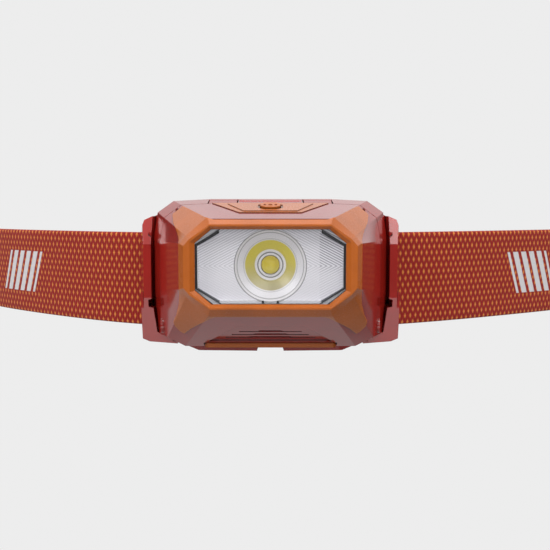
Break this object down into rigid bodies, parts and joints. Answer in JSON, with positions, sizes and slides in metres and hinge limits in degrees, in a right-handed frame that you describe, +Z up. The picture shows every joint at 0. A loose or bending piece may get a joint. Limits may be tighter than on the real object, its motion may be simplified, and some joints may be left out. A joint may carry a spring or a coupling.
{
  "type": "headlamp",
  "caption": "Tilting battery headlamp with a clear framed window, top push button, hinged battery cover and an elastic headband.",
  "frame": {"origin": "middle of the forehead frame where it meets the head, half way up the headband", "axes": "+X to the wearer's left as seen from the front, -Y the way the beam leaves, +Y into the head, +Z up"},
  "size_m": [0.214, 0.1594, 0.042],
  "materials": {
    "red_case": "semi-gloss injection-moulded shell",
    "red_frame": "satin injection-moulded frame",
    "orange_trim": "semi-gloss injection-moulded trim",
    "orange_key": "soft satin key",
    "clear_lens": "clear polished window",
    "seal": "matt seal",
    "mirror_coat": "vacuum-metallised plastic",
    "led_yellow": "phosphor and silicone",
    "led_ceramic": "ceramic",
    "alloy": "plain aluminium",
    "green_board": "solder mask",
    "dark_parts": "moulded electronic parts",
    "steel": "zinc-plated steel",
    "nickel": "nickel-plated spring steel",
    "cell_wrap": "printed sleeve",
    "black_plastic": "matt plastic",
    "webbing": "woven elastic webbing"
  },
  "bodies": {
    "bracket": {"rear_frame": "red_frame", "headband": "webbing", "pivot_pins": "steel"},
    "slider": {"band_slider": "black_plastic"},
    "lamp": {"battery_tray": "red_case", "battery_cells": "cell_wrap", "negative_springs": "nickel", "positive_contacts": "nickel", "cover_hinge_pin": "steel"},
    "cover": {"front_shell": "red_case", "bezel": "orange_trim", "lens_gasket": "seal", "lens": "clear_lens", "reflector": "mirror_coat", "led_board": "alloy", "led_package": "led_ceramic", "led_dome": "led_yellow", "heat_spreader": "alloy", "circuit_board": "green_board", "driver_components": "dark_parts", "tact_switch": "dark_parts", "board_screws": "steel", "inner_wall": "black_plastic", "button_surround": "orange_trim"},
    "button": {"power_button": "orange_key"},
    "latch": {"latch_bar": "orange_trim"}
  },
  "joints": [
    {"name": "tilt", "type": "hinge", "parent": "bracket", "child": "lamp", "pos_m": [0, -0.0097, -0.0105], "axis": [1, 0, 0], "range_deg": [0, 50]},
    {"name": "cover_open", "type": "hinge", "parent": "lamp", "child": "cover", "pos_m": [0, -0.0092, 0.0193], "axis": [-1, 0, 0], "range_deg": [0, 75]},
    {"name": "button_press", "type": "slide", "parent": "cover", "child": "button", "axis": [0, 0.1697, -0.9855], "range_m": [0, 0.0004], "stiffness_N_per_m": 800},
    {"name": "latch_pull", "type": "slide", "parent": "cover", "child": "latch", "axis": [0, 0, -1], "range_m": [0, 0.0008], "stiffness_N_per_m": 600},
    {"name": "slider_travel", "type": "slide", "parent": "bracket", "child": "slider", "axis": [1, 0, 0], "range_m": [-0.018, 0.018]}
  ]
}
